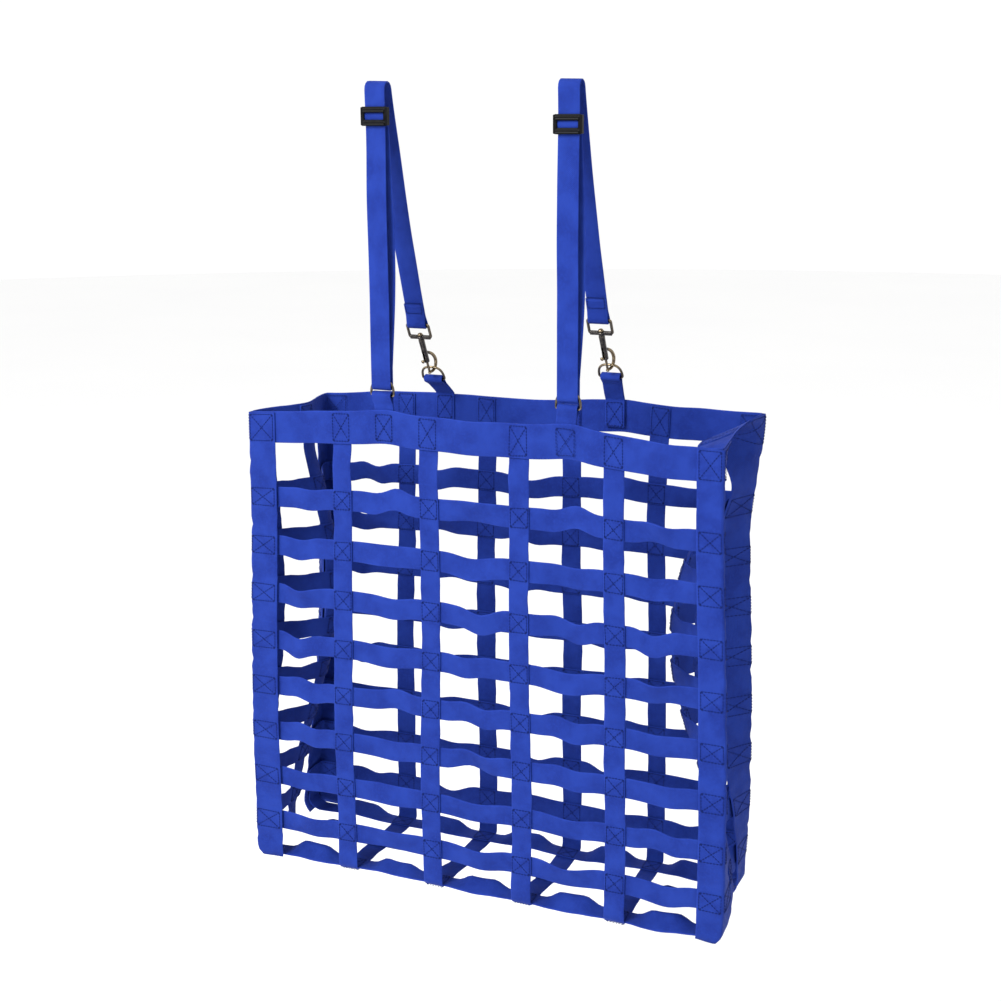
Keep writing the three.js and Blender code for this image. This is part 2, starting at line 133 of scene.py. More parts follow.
def front_raise(side):
    """The front rim stands highest between the hangers and drops to its corners."""
    share = (1 - side - 0.1) / 0.55 if side > 0 else (1 + side + 0.1) / 0.65
    peaks = sum(bell(side * HALF, x, 0.028) for x in HANGERS.values())
    return 0.0105 * smooth(share) + 0.004 * peaks


def rear_raise(side):
    x = side * HALF
    slope = 0.0075 + 0.003 * side
    peaks = 0.006 * bell(x, HANGERS["right"], 0.06) + 0.002 * bell(x, HANGERS["left"], 0.05)
    return slope + peaks - 0.007 * smooth((-side - 0.6) / 0.4)


def drape(p):
    """Where a point of the flat, square bag is on the bag as it hangs."""
    down = clamp((RIM_TOP - p.z) / HEIGHT)
    side = p.x / HALF
    sign = 1 if side > 0 else -1
    sewn = 3 * LAYER
    t = clamp((p.y - FRONT - sewn) / (DEPTH - 2 * sewn))
    rear = smooth(t)
    x, y, z = p

    crease = 0.25
    reach = hypot(1, crease)
    pleat = (reach - hypot(2 * t - 1, crease)) / (reach - crease)
    near_side = smooth((abs(p.x) - HALF + 0.11) / 0.09)
    x -= sign * fold_depth(down, sign) * max(0, pleat) ** PLEAT_POWER[sign] * near_side

    if side > 0:
        below = RIM_TOP - p.z
        hang = below if below < RIM_WIDTH else RIM_WIDTH * smooth(1 - (below - RIM_WIDTH) / 0.05)
        tipped = hang * near_side * smooth((t - 0.02) / 0.3) * smooth((1 - t) / 0.3)
        x -= tipped * sin(RIM_FLOP)
        z += tipped * (1 - cos(RIM_FLOP))

    spread = -0.006 + 0.0135 * smooth(down / 0.8)
    x += side * spread
    if side < 0:
        x += 0.010 * rear * (1 - down) ** 2 * side * side
    else:
        x -= 0.017 * rear * smooth(down / 0.25) * side * side
    radius = 0.016
    q = clamp((radius - (p.z - BOTTOM)) / radius)
    x -= sign * radius * (1 - sqrt(1 - q * q)) * smooth((abs(p.x) - HALF + 0.04) / 0.04)

    front_fade = max(0, 1 - down / 0.6) ** 2
    rear_fade = max(0, 1 - down / 0.9) ** 2
    z += (1 - rear) * front_raise(side) * front_fade + rear * rear_raise(side) * rear_fade

    sag = smooth((down - 0.8) / 0.2) * rear * smooth((abs(p.x) - HALF + 0.16) / 0.16)
    y -= 0.016 * sag
    z += 0.008 * sag

    wave = noise.noise(vec(p.x * 6.5, 3 * rear, p.z * 6.5))
    y += 0.0035 * wave * min(1, 4 * down)
    sway = noise.noise(vec(p.x * 5, 9 + 3 * rear, p.z * 6))
    x += 0.0045 * sway * min(1, 3 * down) * (1 - side**4)
    floor = smooth((down - 0.9) / 0.1)
    z += 0.004 * floor * noise.noise(vec(p.x * 12, p.y * 9, 2.5))
    return vec(x, y, z)


# ---------- node helpers


class Graph:
    """A new material, with short names for making and joining its nodes."""

    def __init__(self, name):
        self.material = bpy.data.materials.new(name)
        self.material.use_nodes = True
        self.tree = self.material.node_tree
        self.tree.nodes.clear()
        output = self.node("OutputMaterial")
        self.shader = self.node("BsdfPrincipled")
        self.plug(output.inputs[0], self.shader.outputs[0])

    def node(self, kind):
        return self.tree.nodes.new("ShaderNode" + kind)

    def plug(self, socket, value):
        if isinstance(value, bpy.types.NodeSocket):
            self.tree.links.new(value, socket)
        elif value is not None:
            socket.default_value = value

    def set(self, name, value):
        self.plug(self.shader.inputs[name], value)

    def math(self, operation, a, b=None, clamped=False):
        node = self.node("Math")
        node.operation = operation
        node.use_clamp = clamped
        self.plug(node.inputs[0], a)
        self.plug(node.inputs[1], b)
        return node.outputs[0]

    def weave_uv(self):
        node, split = self.node("UVMap"), self.node("SeparateXYZ")
        node.uv_map = "weave"
        self.plug(split.inputs[0], node.outputs[0])
        return split.outputs[0], split.outputs[1]

    def noise(self, scale, detail=3):
        node = self.node("TexNoise")
        node.inputs["Scale"].default_value = scale
        node.inputs["Detail"].default_value = detail
        node.inputs["Roughness"].default_value = 0.55
        self.plug(node.inputs["Vector"], self.node("TexCoord").outputs["Object"])
        return node.outputs[0]

    def attribute(self, name):
        node = self.node("Attribute")
        node.attribute_name = name
        return node.outputs["Fac"]

    def remap(self, value, *limits):
        """limits: the value's own low and high, then those it is spread to."""
        node = self.node("MapRange")
        self.plug(node.inputs[0], value)
        for socket, number in zip(node.inputs[1:5], limits):
            socket.default_value = number
        return node.outputs[0]

    def mix(self, share, a, b):
        node = self.node("Mix")
        node.data_type = "RGBA"
        for index, value in ((0, share), (6, a), (7, b)):
            self.plug(node.inputs[index], value)
        return node.outputs[2]

    def bump(self, height, distance, strength=1.0, below=None):
        node = self.node("Bump")
        for name, value in (("Strength", strength), ("Distance", distance), ("Height", height),
                            ("Normal", below)):
            self.plug(node.inputs[name], value)
        return node.outputs[0]


# ---------- materials

# The webbing's royal blue, and the darker blue of its cloudy patches.
ROYAL, ROYAL_SHADE = (0.0105, 0.034, 0.256, 1), (0.006, 0.022, 0.194, 1)


def webbing_material(name, width=WEB):
    """Ribbed narrow webbing: columns of warp with the weft's ticks between, and a selvedge."""
    g = Graph(name)
    across, along = g.weave_uv()
    column = g.math("DIVIDE", across, 0.00125)
    columns = g.math("ABSOLUTE", g.math("SINE", g.math("MULTIPLY", column, pi)))
    stagger = g.math("MULTIPLY", g.math("FLOOR", column), 0.5)
    tick = g.math("ADD", g.math("DIVIDE", along, 0.0021), stagger)
    ticks = g.math("ABSOLUTE", g.math("SINE", g.math("MULTIPLY", tick, pi)))
    rib = g.math("POWER", columns, 0.6)
    weave = g.math("MULTIPLY", rib, g.math("POWER", ticks, 0.5))
    edge = g.math("ABSOLUTE", g.math("SUBTRACT", across, width / 2))
    selvedge = g.remap(edge, width / 2 - 0.0016, width / 2 - 0.0009, 0, 1)
    weave = g.math("MAXIMUM", weave, g.math("MULTIPLY", selvedge, 0.75))

    cloudy = g.noise(34, 5)
    fine = g.noise(420, 2)
    tone = g.mix(g.remap(cloudy, 0.38, 0.62, 0, 1), ROYAL_SHADE, ROYAL)
    worn = [c * 1.12 + 0.004 for c in ROYAL[:3]] + [1]
    tone = g.mix(g.remap(fine, 0.45, 0.75, 0, 0.55), tone, worn)
    # Painted shade: the weave's low gaps between its ribs and ticks are darkened towards a deep
    # navy.
    gap_shade_mask = g.remap(weave, 0.1, 0.75, 0.38, 0)
    gap_shade_colour = [c * 0.55 for c in ROYAL_SHADE[:3]] + [1]
    tone = g.mix(gap_shade_mask, tone, gap_shade_colour)
    g.set("Base Color", tone)
    g.set("Roughness", g.remap(fine, 0.3, 0.7, 0.66, 0.86))
    g.set("Specular IOR Level", 0.12)
    g.set("Sheen Weight", 0.03)
    g.set("Sheen Roughness", 0.45)
    g.set("Sheen Tint", (0.35, 0.45, 1, 1))
    creases = g.bump(g.noise(70, 4), 0.0022, 0.6)
    g.set("Normal", g.bump(weave, 0.00035, 0.85, creases))
    return g.material


def thread_material():
    g = Graph("thread")
    twist = g.noise(900, 2)
    g.set("Base Color", g.mix(twist, (0.003, 0.008, 0.06, 1), (0.007, 0.017, 0.13, 1)))
    g.set("Roughness", g.remap(twist, 0.3, 0.7, 0.5, 0.7))
    g.set("Specular IOR Level", 0.05)
    g.set("Normal", g.bump(twist, 0.0002, 0.6))
    return g.material


def plastic_material():
    g = Graph("black_moulding")
    grain = g.noise(1600, 2)
    haze = g.noise(140, 3)
    bloom = g.remap(haze, 0.4, 0.7, 0, 1)
    g.set("Base Color", g.mix(bloom, (0.0015, 0.0015, 0.002, 1), (0.004, 0.004, 0.005, 1)))
    g.set("Roughness", g.remap(haze, 0.3, 0.7, 0.34, 0.46))
    g.set("Specular IOR Level", 0.07)
    g.set("Normal", g.bump(grain, 0.00008, 0.5))
    return g.material


def metal_material(name, plate, dark, brass, amount):
    """Dark nickel plate over die-cast metal, thinner and brassier where it rubs."""
    g = Graph(name)
    patches = g.noise(260, 4)
    fine = g.noise(1500, 3)
    wear = g.attribute("wear")
    tone = g.mix(g.remap(patches, 0.35, 0.7, 0, 1), dark, plate)
    rubbed = g.math("MULTIPLY", g.remap(patches, 0.3, 0.6, 0.55, 1), wear, True)
    tone = g.mix(g.math("MULTIPLY", rubbed, amount), tone, brass)
    g.set("Base Color", tone)
    g.set("Metallic", 1)
    g.set("Roughness", g.remap(fine, 0.3, 0.7, 0.16, 0.3))
    scuffs = g.bump(fine, 0.00006, 0.4)
    g.set("Normal", g.bump(patches, 0.0002, 0.35, scuffs))
    return g.material


def floor_material():
    g = Graph("pale_floor")
    mottle = g.noise(0.8, 3)
    g.set("Base Color", g.mix(mottle, (0.93, 0.93, 0.93, 1), (0.96, 0.96, 0.955, 1)))
    g.set("Roughness", 0.95)
    g.set("Specular IOR Level", 0.1)
    return g.material


BLUE = webbing_material("blue_webbing")
RIM_BLUE = webbing_material("blue_rim_webbing", RIM_WIDTH)
CORNER_BLUE = webbing_material("blue_corner_webbing", CORNER_WEB)
THREAD = thread_material()
PLASTIC = plastic_material()
PLATE = metal_material(
    "dark_plate", (0.11, 0.1, 0.09, 1), (0.045, 0.042, 0.04, 1), (0.34, 0.26, 0.15, 1), 0.8)
SPRING = metal_material(
    "spring_wire", (0.5, 0.5, 0.48, 1), (0.35, 0.35, 0.34, 1), (0.5, 0.5, 0.48, 1), 0.0)


# ---------- meshes


def new_object(name, data):
    thing = bpy.data.objects.new(name, data)
    bpy.context.scene.collection.objects.link(thing)
    return thing


def plain_mesh(name, vertices, faces):
    mesh = bpy.data.meshes.new(name)
    mesh.from_pydata([tuple(v) for v in vertices], [], faces)
    return mesh


def add_piece(name, mesh, material, body, replaced=()):
    """A finished piece: shaded smooth, riding on its body, standing for its CAD nodes."""
    piece = new_object(name, mesh)
    mesh.materials.clear()
    mesh.materials.append(material)
    mesh.shade_smooth()
    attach(piece, body)
    if replaced:
        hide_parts(*replaced)
    return piece


# Across a strap: place from edge to edge, and share of the full thickness there.
STRAP_PROFILE = [(-1, 0.3), (-0.96, 0.82), (-0.86, 1), (-0.6, 0.96), (-0.3, 1), (0, 0.97),
                 (0.3, 1), (0.6, 0.96), (0.86, 1), (0.96, 0.82), (1, 0.3)]


def strap_data(grid, width, closed=False, profile=STRAP_PROFILE, shape=None):
    """Vertices, faces and weave coordinates of a strap.

    grid holds one row per station along the strap, and each row holds a (point, normal) for
    every entry of the profile. shape moves the finished points.
    """
    vertices, weave = [], []
    length = 0
    columns = len(profile)
    middles = [row[columns // 2][0] for row in grid]
    for i, row in enumerate(grid):
        if i > 0:
            length += (middles[i] - middles[i - 1]).length
        for face in (1, -1):
            for (point, normal), (place, share) in list(zip(row, profile))[::face]:
                vertices.append(point + normal * (face * share * THICK / 2))
                weave.append(((place + 1) / 2 * width, length))
    ring = 2 * columns
    count = len(grid)
    faces, uvs = [], []
    for i in range(count if closed else count - 1):
        a, b = i * ring, ((i + 1) % count) * ring
        for j in range(ring):
            k = (j + 1) % ring
            faces.append((a + j, a + k, b + k, b + j))
            corners = [weave[a + j], weave[a + k], weave[b + k], weave[b + j]]
            if closed and i == count - 1:
                corners[2:] = [(u, weave[a][1] + STEP) for u, _ in corners[2:]]
            uvs.extend(corners)
    if not closed:
        for start, order in ((0, -1), ((count - 1) * ring, 1)):
            for j in range(columns - 1):
                quad = [start + k for k in (j, j + 1, ring - 2 - j, ring - 1 - j)][::order]
                faces.append(tuple(quad))
                uvs.extend(weave[v] for v in quad)
    if shape is not None:
        vertices = [shape(v) for v in vertices]
    return vertices, faces, uvs


def ring_faces(a, b, sides):
    """The quads between two rings of vertices, which start at a and b."""
    return [(a + k, a + (k + 1) % sides, b + (k + 1) % sides, b + k) for k in range(sides)]


def joined(parts):
    """The vertices and faces of several parts, as those of one."""
    vertices, faces = [], []
    for part in parts:
        offset = len(vertices)
        vertices += part[0]
        faces += [tuple(v + offset for v in face) for face in part[1]]
    return vertices, faces


def to_mesh(name, *parts):
    """One mesh from several (vertices, faces, uvs)."""
    mesh = plain_mesh(name, *joined(parts))
    layer = mesh.uv_layers.new(name="weave")
    layer.data.foreach_set("uv", [number for part in parts for uv in part[2] for number in uv])
    mesh.validate()
    mesh.update()
    return mesh


def add_webbing(name, node, grid, width=WEB, material=BLUE, shape=None, **how):
    """A strap that belongs to the bag's body and stands for one CAD node."""
    mesh = to_mesh(name, strap_data(grid, width, shape=shape, **how))
    return add_piece(name, mesh, material, "root", [node])


def resample(points, step):
    """Points at even steps along a line of points."""
    lengths = [0]
    for a, b in zip(points, points[1:]):
        lengths.append(lengths[-1] + (b - a).length)
    count = max(2, round(lengths[-1] / step))
    result, j = [], 0
    for i in range(count + 1):
        target = lengths[-1] * i / count
        while j < len(points) - 2 and lengths[j + 1] < target:
            j += 1
        span = lengths[j + 1] - lengths[j]
        share = 0 if span < 1e-9 else (target - lengths[j]) / span
        result.append(points[j].lerp(points[j + 1], clamp(share)))
    return result


def arc(middle, radius, start, end, steps):
    """Points of an arc in a plane given by two numbers, angles in degrees."""
    angles = [radians(start + (end - start) * i / steps) for i in range(steps + 1)]
    return [middle + vec(cos(a), sin(a)) * radius for a in angles]


def tangents(points, closed=False):
    before, after = (points[-1], points[0]) if closed else (points[0], points[-1])
    line = [before, *points, after]
    return [(b - a).normalized() for a, b in zip(line, line[2:])]


class Slack:
    """The small sags, swings and twists of a strap in the free spans between its crossings."""

    def __init__(self, seed, spans, sag, swing, bulge, twist):
        draw = random.Random(seed)
        self.spans = []
        for low, high in spans:
            size = min(1.0, (high - low) / 0.09)
            self.spans.append((
                low, high,
                draw.uniform(*sag) * size,
                draw.uniform(-swing, swing) * size,
                draw.uniform(-bulge, bulge) * size,
                radians(draw.uniform(-twist, twist)),
            ))

    def at(self, place, turn_up=0):
        """(sideways, outwards, twist) at a place along the strap.

        turn_up is how far one edge is turned up along the middle of a free span.
        """
        for low, high, sag, swing, bulge, twist in self.spans:
            if low < place < high:
                q = (place - low) / (high - low)
                b = sin(pi * q) ** 2
                turn = turn_up * smooth(1.25 * b)
                sideways = -sag * b + swing * sin(2 * pi * q) * b
                out = abs(bulge * b) - WEB / 2 * sin(turn) if turn_up else bulge * b
                return sideways, out, twist * b - turn
        return 0, 0, 0


def station(point, across, outward, width, slack):
    """One row of a strap's grid, moved and turned by its slack."""
    sideways, out, twist = slack
    middle = point + across * sideways + outward * out
    a = across * cos(twist) + outward * sin(twist)
    n = outward * cos(twist) - across * sin(twist)
    return [(middle + a * (place * width / 2), n) for place, _ in STRAP_PROFILE]


def raised(p, axis, offset):
    """A point of the plane at an offset along an axis, from its two numbers in that plane."""
    numbers = list(p)
    numbers.insert(axis, offset)
    return Vector(numbers)


def ribbon(line, axis, offset, slack, width=WEB, outer=1, closed=False):
    """The grid of a strap whose middle line lies in a plane at right angles to an axis.

    Its outer face is on the line's left, or on its right where outer is -1. slack is a function
    of the point, the direction and the share of the line, and offset may be one.
    """
    grid = []
    for i, (point, along) in enumerate(zip(line, tangents(line, closed))):
        here = (point, along, i / (len(line) - 1))
        outward = raised(vec(-along.y, along.x) * outer, axis, 0)
        place = raised(point, axis, offset(*here) if callable(offset) else offset)
        grid.append(station(place, AXES[axis], outward, width, slack(*here)))
    return grid


def taut(*_):
    return 0, 0, 0


# ---------- the bag's webbing


def free_spans(crossings, low, high):
    """The stretches between crossing straps. crossings holds (centre, half width)."""
    margin = 0.002
    spans, start = [], low
    for middle, half in sorted(crossings):
        if middle - half - margin > start:
            spans.append((start, middle - half - margin))
        start = middle + half + margin
    if high > start:
        spans.append((start, high))
    return spans


PANEL_CROSSINGS = ([(x, WEB / 2) for x in UPRIGHTS]
                   + [(s * (HALF - wide / 2), wide / 2) for s, wide in ON_PANEL.items()])
SIDE_CROSSINGS = [(MIDDLE, WEB / 2), (FRONT + CORNER_WEB / 4, CORNER_WEB / 4),
                  (BACK - CORNER_WEB / 4, CORNER_WEB / 4)]


def band_grid(z, inset, width, seed, sag, swing, bulge, twist):
    """A band right round the bag, starting at the middle of its back."""
    side, front, back = HALF - inset, FRONT + inset, BACK - inset
    corner = 0.004
    panels = {}
    for i, name in enumerate(("front", "right", "back", "left")):
        facing = i % 2 == 0
        spans = free_spans(PANEL_CROSSINGS if facing else SIDE_CROSSINGS,
                           -HALF, HALF if facing else BACK)
        panels[name] = Slack(seed * 10 + i, spans, sag, swing,
                             bulge if facing else 0.6 * bulge, twist)
    line = [vec(0, back)]
    for turn, (sx, sy) in enumerate(((1, 1), (1, -1), (-1, -1), (-1, 1))):
        edge = back if sy > 0 else front
        pivot = vec(sx * (side - corner), edge - sy * corner)
        line.extend(arc(pivot, corner, 90 - 90 * turn, -90 * turn, 5))
    line.append(vec(0, back))
    points = resample(line, STEP)[:-1]

    def slack(point, along, _):
        if abs(along.x) > 0.9:
            return panels["front" if point.y < MIDDLE else "back"].at(point.x)
        if abs(along.y) > 0.9:
            return panels["right" if point.x > 0 else "left"].at(point.y)
        return 0, 0, 0

    return ribbon(points, 2, z, slack, width, closed=True)


def add_bands():
    grid = band_grid(RIM_TOP - RIM_WIDTH / 2, RIM_INSET, RIM_WIDTH, 3,
                     (-0.0008, 0.0012), 0.0008, 0.0025, 3)
    add_webbing("rim_webbing", "rim_band", grid, RIM_WIDTH, RIM_BLUE, drape, closed=True)
    for i, z in enumerate(ROWS, 1):
        grid = band_grid(z, ROW_INSET, WEB, 20 + i, (-0.003, 0.007), 0.006, 0.007, 24)
        add_webbing(f"row_webbing_{i}", f"row_band_{i}", grid, shape=drape, closed=True)


def both_ways(half, about):
    """A line that runs along half and back again on the other side of the bag."""
    other = [vec(2 * about - p.x, p.y) for p in reversed(half)]
    return resample(half + other, STEP)


def add_upright(index, x):
    turn = 0.007
    front, inside = FRONT + RIM_INSET, FRONT + ROW_INSET
    floor = BOTTOM + THICK / 2
    half = [
        vec(inside, RIM_TOP - 0.002),
        vec(inside, RIM_TOP - RIM_WIDTH - 0.006),
        vec(inside - 0.0006, RIM_TOP - RIM_WIDTH - 0.011),
        vec(front + 0.0006, RIM_TOP - RIM_WIDTH - 0.019),
        vec(front, RIM_TOP - RIM_WIDTH - 0.024),
        *arc(vec(front + turn, floor + turn), turn, 180, 270, 6),
    ]
    points = both_ways(half, MIDDLE)
    spans = free_spans([(z, WEB / 2) for z in ROWS], BOTTOM + 0.012, RIM_TOP - RIM_WIDTH - 0.002)
    faces = [Slack(300 + index * 10 + k, spans, (-0.0012, 0.0012), 0.001, 0.0022, 6)
             for k in range(2)]
    under = Slack(350 + index, free_spans([(MIDDLE, WEB / 2)], FRONT + 0.04, BACK - 0.04),
                  (-0.0015, 0.0015), 0.001, 0.002, 6)

    def slack(point, along, _):
        if abs(along.y) > 0.9:
            return faces[0 if point.x < MIDDLE else 1].at(point.y)
        return under.at(point.x)

    grid = ribbon(points, 0, x, slack, outer=-1)
    add_webbing(f"upright_webbing_{index}", f"upright_strap_{index}", grid, shape=drape)


def add_cross_strap(name, node, y, top, outwards=0, droop=0.004):
    """A strap that goes up both sides and across the bottom inside the uprights.

    outwards is -1 or 1 for the strap that bows towards the bottom's front or back edge. Between
    the uprights its back edge has turned up.
    """
    foot = HALF - RIM_INSET
    floor = BOTTOM + THICK / 2 + LAYER
    turn = 0.012
    half = []
    if top > BOTTOM + HEIGHT / 2:
        inside = HALF - ROW_INSET
        half += [vec(inside, top), vec(inside, RIM_TOP - RIM_WIDTH - 0.006),
                 vec(foot, RIM_TOP - RIM_WIDTH - 0.02)]
    else:
        half += [vec(foot, top)]
    half += arc(vec(foot - turn, floor + turn), turn, 0, -90, 6)
    points = both_ways(half, 0)
    rise = Slack(400 + len(name), free_spans([(z, WEB / 2) for z in ROWS], BOTTOM + 0.02,
                                             RIM_TOP - RIM_WIDTH - 0.002),
                 (-0.002, 0.002), 0.001, 0.003, 8)
    run = Slack(430 + len(name), free_spans([(x, WEB / 2) for x in UPRIGHTS],
                                            -HALF + 0.03, HALF - 0.03),
                (0.001, 0.0055), min(0.003, droop), droop, 14)

    def slack(point, along, _):
        if abs(along.y) > 0.9:
            return rise.at(point.y)
        sideways, *others = run.at(point.x, BOTTOM_TURN)
        return -outwards * sideways, *others

    grid = ribbon(points, 1, y + BOTTOM_BOW * outwards, slack)
    add_webbing(name, node, grid, shape=drape)


CORNER_BEND = 0.003


def corner_profile(sx):
    """Like STRAP_PROFILE, with close points round the fold."""
    flat = ON_PANEL[sx] - CORNER_BEND
    fold = [((flat + step) / CORNER_WEB * 2 - 1, 1)
            for step in (-0.0008, 0.0004, 0.0016, 0.0028, 0.004, 0.0052)]
    return [(-1, 0.3), (-0.98, 0.82), (-0.92, 1), (-0.7, 0.97), (-0.42, 1), *fold,
            (0.22, 1), (0.45, 0.97), (0.7, 1), (0.92, 1), (0.98, 0.82), (1, 0.3)]


def add_corner_strap(name, sx, sy, seed):
    """A wide strap folded round a corner, creased where it bears the rows' ends."""
    bend = CORNER_BEND
    flat, curve = ON_PANEL[sx] - bend, bend * pi / 2
    profile = corner_profile(sx)
    low, high = BOTTOM + 0.002, RIM_TOP - 0.001
    count = round((high - low) / 0.005)
    grid = []
    edge_x, edge_y = HALF - THICK / 2, DEPTH / 2 - THICK / 2
    for i in range(count + 1):
        z = high + (low - high) * i / count
        row = []
        for place, _ in profile:
            s = (place + 1) / 2 * CORNER_WEB
            if s < flat:
                point, normal = vec(edge_x - ON_PANEL[sx] + s, edge_y), vec(0, 1)
            elif s < flat + curve:
                angle = (s - flat) / bend
                normal = vec(sin(angle), cos(angle))
                point = vec(edge_x - bend, edge_y - bend) + normal * bend
            else:
                point = vec(edge_x, edge_y - bend - (s - flat - curve))
                normal = vec(1, 0)
            free = min([abs(z - r) - WEB / 2 for r in ROWS] + [RIM_TOP - RIM_WIDTH - z])
            crease = noise.noise(vec(s * 22 + seed, z * 75 + s * 30, seed))
            rumple = 0.0030 * crease * smooth(free / 0.012 + 0.25)
            point += normal * min(rumple, 0.5 * rumple)
            row.append((vec(point.x * sx, MIDDLE + point.y * sy, z),
                        vec(normal.x * sx, normal.y * sy, 0)))
        grid.append(row)
    if sx * sy > 0:
        grid.reverse()
    add_webbing(f"{name}_webbing", name, grid, CORNER_WEB, CORNER_BLUE, drape, profile=profile)


# ---------- stitching

STITCH = 0.0029
STITCH_GAP = 0.0008
THREAD_RADIUS = 0.00042
# Along a stitch: share of its length, of the thread's radius, and how far it stands up.
STITCH_SHAPE = ((0, 0.35, 0.1), (0.3, 1, 0.75), (0.7, 1, 0.75), (1, 0.35, 0.1))


def thread_line(first, last, normal, vertices, faces, shape):
    """Separate stitches along a straight line that lies on the webbing."""
    count = round((last - first).length / (STITCH + STITCH_GAP))
    for i in range(count):
        a, b = first.lerp(last, i / count), first.lerp(last, (i + 1) / count)
        along = (b - a).normalized()
        across = normal.cross(along).normalized()
        start, stop = a.lerp(b, 0.1), a.lerp(b, 0.9)
        ring = []
        for share, radius, lift in STITCH_SHAPE:
            middle = start.lerp(stop, share) + normal * (THREAD_RADIUS * lift)
            for c, s in circle(8)[1::2]:
                offset = across * c + normal * (s * 0.8)
                ring.append(middle + offset * (THREAD_RADIUS * radius * 1.2))
        base = len(vertices)
        vertices.extend(shape(v) if shape else v for v in ring)
        for i in (0, 4, 8):
            faces += ring_faces(base + i + 4, base + i, 4)
        faces.append((base, base + 1, base + 2, base + 3))
        faces.append((base + 15, base + 14, base + 13, base + 12))


def cross_box(middle, ex, ey, half_width, half_height, normal, draw):
    """The lines of a stitched box with its cross, a little out of true."""
    corners = []
    for sx, sy in ((-1, -1), (1, -1), (1, 1), (-1, 1)):
        wobble = vec(*(draw.uniform(-1, 1) for _ in range(3))) * 0.0006
        wobble -= normal * wobble.dot(normal)
        corners.append(middle + ex * (sx * half_width) + ey * (sy * half_height) + wobble)
    ends = [(k, (k + 1) % 4) for k in range(4)] + [(0, 2), (1, 3)]
    return [(corners[a], corners[b], normal) for a, b in ends]


def add_threads(name, lines, shape=None):
    """lines: (first point, last point, normal)."""
    vertices, faces = [], []
    for line in lines:
        thread_line(*line, vertices, faces, shape)
    add_piece(name, plain_mesh(name, vertices, faces), THREAD, "root")


def add_stitching(name, boxes, shape=drape):
    """boxes: (middle, ex, ey, half width, half height, normal)."""
    draw = random.Random(name)
    add_threads(name, [line for box in boxes for line in cross_box(*box, draw)], shape)


def add_bag_stitching():
    box = WEB / 2 - 0.0016
    rim_z = RIM_TOP - RIM_WIDTH / 2
    spots = [(rim_z, RIM_WIDTH / 2 - 0.003)] + [(z, box) for z in ROWS]
    inner = ROW_INSET + THICK / 2 + HAIR
    for name, plane, out in (("front", FRONT, -1), ("back", BACK, 1)):
        normal, surface = Y_AXIS * out, plane - out * (LAYER - HAIR)
        outside, inside = [], []

        def both_faces(x, outer_y, wide):
            for z, tall in spots:
                outside.append((vec(x, outer_y, z), X_AXIS, UP, wide, tall, normal))
                inside.append((vec(x, plane - out * inner, z), X_AXIS, UP, wide, tall, -normal))

        for x in UPRIGHTS:
            both_faces(x, surface, box)
        outside += [(vec(x, surface, rim_z), X_AXIS, UP, box, RIM_WIDTH / 2 - 0.005, normal)
                    for x in HANGERS.values()]
        for sign, share in ON_PANEL.items():
            both_faces(sign * (HALF - share / 2 - 0.0005), plane + out * HAIR,
                       share / 2 - 0.0025)
        add_stitching(f"stitching_{name}_outside", outside)
        add_stitching(f"stitching_{name}_inside", inside)
    for name, sign in (("left", -1), ("right", 1)):
        normal, leg = X_AXIS * sign, ON_SIDE[sign]
        boxes = []
        for z, tall in spots:
            for x, face in ((HALF - LAYER + HAIR, normal), (HALF - inner, -normal)):
                boxes.append((vec(sign * x, MIDDLE, z), Y_AXIS, UP, box, tall, face))
            for y in (FRONT + leg / 2 + 0.001, BACK - leg / 2 - 0.001):
                boxes.append((vec(sign * (HALF + HAIR), y, z), Y_AXIS, UP,
                              leg / 2 - 0.0025, tall, normal))
        add_stitching(f"stitching_{name}", boxes)
    boxes = []
    for x in UPRIGHTS:
        for y in (centre("bottom_strap_front").y - BOTTOM_BOW, MIDDLE,
                  centre("bottom_strap_rear").y + BOTTOM_BOW):
            for z, face in ((BOTTOM - HAIR, -UP), (BOTTOM + LAYER + THICK + HAIR, UP)):
                boxes.append((vec(x, y, z), X_AXIS, Y_AXIS, box, box, face))
    add_stitching("stitching_bottom", boxes)


# ---------- hangers

GAP = 0.00035
JOINTS = {joint["name"]: joint for joint in frame["joints"]}
RING_WIRE = 0.0015
RING_HALF_WIDTH = 0.0147
RING_HEIGHT = 0.018
RING_SQUARENESS = 0.7
RING_LEAN = {"front": 0, "rear": radians(28)}
TAB_INNER = 0.0036
LEG = RING_WIRE + 2 * GAP + THICK / 2
HANG_RADIUS = 0.009
HANGER_STEP = 0.004
END_LOOP = 0.0039
END_LAP = 0.024
END_LIFT = 0.0014 + THICK / 2 + HAIR


def joint_place(name):
    return Vector(JOINTS[name]["pos_m"])


def quadratic(a, control, b, steps=24):
    return [a.lerp(control, t).lerp(control.lerp(b, t), t)
            for t in (i / steps for i in range(steps + 1))]


def front_fold(side):
    return joint_place(f"front_ring_swing_{side}").z - 0.0077


def hanger_line(side):
    """The middle line of a hanger: round the D-ring, up, over the top, down to the snap."""
    fold = front_fold(side)
    snap = joint_place(f"snap_swing_{side}")
    eye = vec(snap.y, snap.z)
    lean = atan2(eye.x - 2 * HANG_RADIUS, -eye.y) + radians(5)
    down = vec(sin(lean), -cos(lean))
    across = vec(cos(lean), sin(lean))

    def leg(distance, sideways):
        return eye - down * distance + across * sideways

    lap = 0.0014
    points = [vec(LEG, fold + 0.026), *arc(vec(0, fold), LEG, 0, -180, 12)]
    points += arc(vec(HANG_RADIUS - LEG, THICK / 2 - HANG_RADIUS), HANG_RADIUS, 180, 15, 16)
    points += quadratic(points[-1], leg(0.15, lap), leg(END_LOOP + 0.008, lap))[1:]
    angle = degrees(atan2(across.y, across.x))
    points += arc(eye, END_LOOP, angle, angle - 180, 12)
    points += [leg(END_LOOP + 0.008, -lap + 0.0002), leg(END_LOOP + END_LAP, -lap + 0.0002)]
    return points, leg, across


